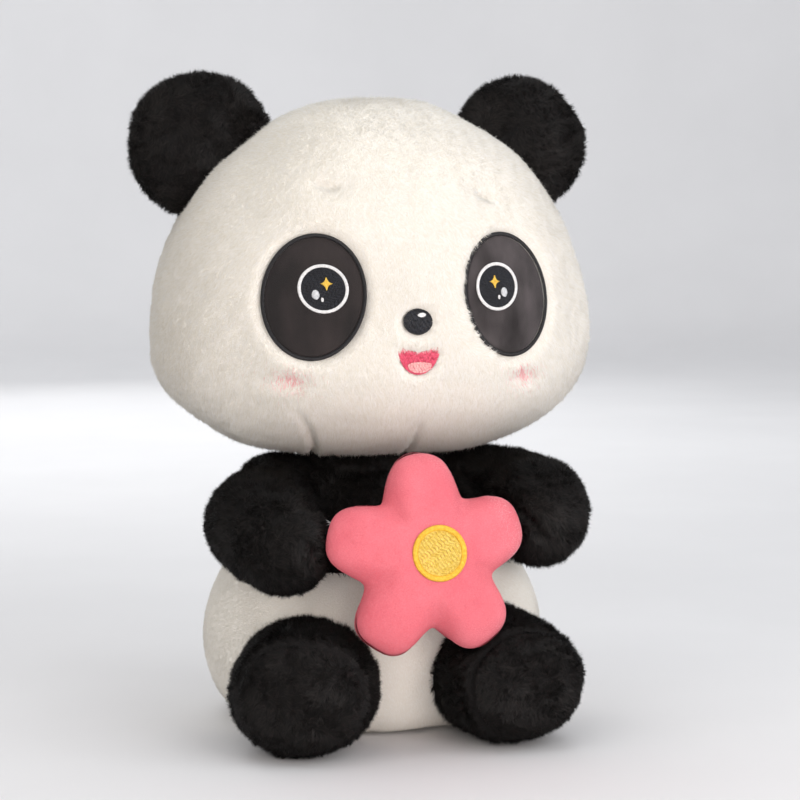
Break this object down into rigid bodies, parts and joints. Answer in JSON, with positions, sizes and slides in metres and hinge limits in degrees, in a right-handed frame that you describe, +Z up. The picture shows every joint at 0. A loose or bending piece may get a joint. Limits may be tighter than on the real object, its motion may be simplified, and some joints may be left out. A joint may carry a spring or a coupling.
{
  "type": "plush panda",
  "caption": "Seated plush panda with a big round head, embroidered face and short black limbs, holding a puffy pink flower between its paws.",
  "frame": {"origin": "middle of the flat seat panel the panda sits on", "axes": "+Z up, -Y the way the face looks, -X the panda's right side"},
  "size_m": [0.352, 0.2979, 0.4943],
  "materials": {
    "white_fur": "cream-white long plush",
    "white_short_pile": "off-white short plush",
    "seat_cloth": "plain woven backing",
    "black_fur": "near-black long plush",
    "patch_velvet": "charcoal-brown velour",
    "black_thread": "satin stitch",
    "navy_thread": "satin stitch",
    "white_thread": "satin stitch",
    "yellow_thread": "fill stitch",
    "gold_thread": "satin stitch",
    "crimson_thread": "satin stitch",
    "tongue_felt": "brushed felt",
    "flower_velvet": "short crystal velvet",
    "fibre_filling": "loose polyester fibre"
  },
  "bodies": {
    "torso": {"belly_cover": "white_short_pile", "yoke_cover": "black_fur", "seat_panel": "seat_cloth", "body_stuffing": "fibre_filling", "neck_seam_thread": "black_thread"},
    "neck": {"neck_stuffing": "fibre_filling"},
    "head": {"face_panel_right": "white_fur", "face_panel_left": "white_fur", "head_back_panel_right": "white_fur", "head_back_panel_left": "white_fur", "head_stuffing": "fibre_filling", "eye_patch_right": "patch_velvet", "patch_stitching_right": "black_thread", "iris_right": "navy_thread", "iris_ring_right": "white_thread", "eye_star_right": "yellow_thread", "eye_glint_large_right": "white_thread", "eye_glint_small_right": "white_thread", "eye_patch_left": "patch_velvet", "patch_stitching_left": "black_thread", "iris_left": "navy_thread", "iris_ring_left": "white_thread", "eye_star_left": "yellow_thread", "eye_glint_large_left": "white_thread", "eye_glint_small_left": "white_thread", "nose": "navy_thread", "nose_glint": "white_thread", "mouth": "crimson_thread", "tongue": "tongue_felt", "brow_stitch_right": "white_thread", "brow_stitch_left": "white_thread"},
    "ear_right": {"ear_front_right": "black_fur", "ear_back_right": "black_fur", "ear_stuffing_right": "fibre_filling"},
    "ear_left": {"ear_front_left": "black_fur", "ear_back_left": "black_fur", "ear_stuffing_left": "fibre_filling"},
    "arm_right": {"arm_cover_right": "black_fur", "paw_panel_right": "black_fur", "arm_stuffing_right": "fibre_filling", "paw_stitch_right": "white_thread"},
    "arm_left": {"arm_cover_left": "black_fur", "paw_panel_left": "black_fur", "arm_stuffing_left": "fibre_filling", "paw_stitch_left": "white_thread"},
    "leg_right": {"leg_cover_right": "black_fur", "sole_panel_right": "black_fur", "leg_stuffing_right": "fibre_filling"},
    "leg_left": {"leg_cover_left": "black_fur", "sole_panel_left": "black_fur", "leg_stuffing_left": "fibre_filling"},
    "flower": {"flower_front": "flower_velvet", "flower_back": "flower_velvet", "flower_stuffing": "fibre_filling", "flower_disc": "yellow_thread", "flower_disc_border": "gold_thread"}
  },
  "joints": [
    {"name": "head_turn", "type": "hinge", "parent": "torso", "child": "neck", "pos_m": [0, 0, 0.203], "axis": [0, 0, 1], "range_deg": [-15, 15], "stiffness_Nm_per_rad": 8},
    {"name": "head_nod", "type": "hinge", "parent": "neck", "child": "head", "pos_m": [0, 0, 0.203], "axis": [-1, 0, 0], "range_deg": [0, 12], "stiffness_Nm_per_rad": 14},
    {"name": "ear_right_flex", "type": "hinge", "parent": "head", "child": "ear_right", "pos_m": [-0.114, 0.018, 0.4323], "axis": [0.7331, 0, 0.6801], "range_deg": [-12, 12], "stiffness_Nm_per_rad": 0.5},
    {"name": "ear_left_flex", "type": "hinge", "parent": "head", "child": "ear_left", "pos_m": [0.114, 0.018, 0.4323], "axis": [0.7331, 0, -0.6801], "range_deg": [-12, 12], "stiffness_Nm_per_rad": 0.5},
    {"name": "arm_right_lift", "type": "hinge", "parent": "torso", "child": "arm_right", "pos_m": [-0.05, -0.004, 0.172], "axis": [-1, 0, 0], "range_deg": [0, 12], "stiffness_Nm_per_rad": 2},
    {"name": "arm_left_lift", "type": "hinge", "parent": "torso", "child": "arm_left", "pos_m": [0.05, -0.004, 0.172], "axis": [-1, 0, 0], "range_deg": [0, 12], "stiffness_Nm_per_rad": 2},
    {"name": "flower_rock", "type": "hinge", "parent": "arm_right", "child": "flower", "pos_m": [0, -0.125, 0.17], "axis": [-1, 0, 0], "range_deg": [0, 15], "stiffness_Nm_per_rad": 0.6},
    {"name": "leg_right_splay", "type": "hinge", "parent": "torso", "child": "leg_right", "pos_m": [-0.062, -0.05, 0.05], "axis": [0, 0, -1], "range_deg": [0, 12], "stiffness_Nm_per_rad": 2},
    {"name": "leg_left_splay", "type": "hinge", "parent": "torso", "child": "leg_left", "pos_m": [0.062, -0.05, 0.05], "axis": [0, 0, 1], "range_deg": [0, 12], "stiffness_Nm_per_rad": 2}
  ],
  "couplings": [
    {"joint": "arm_left_lift", "follows": "arm_right_lift", "ratio": 1}
  ]
}
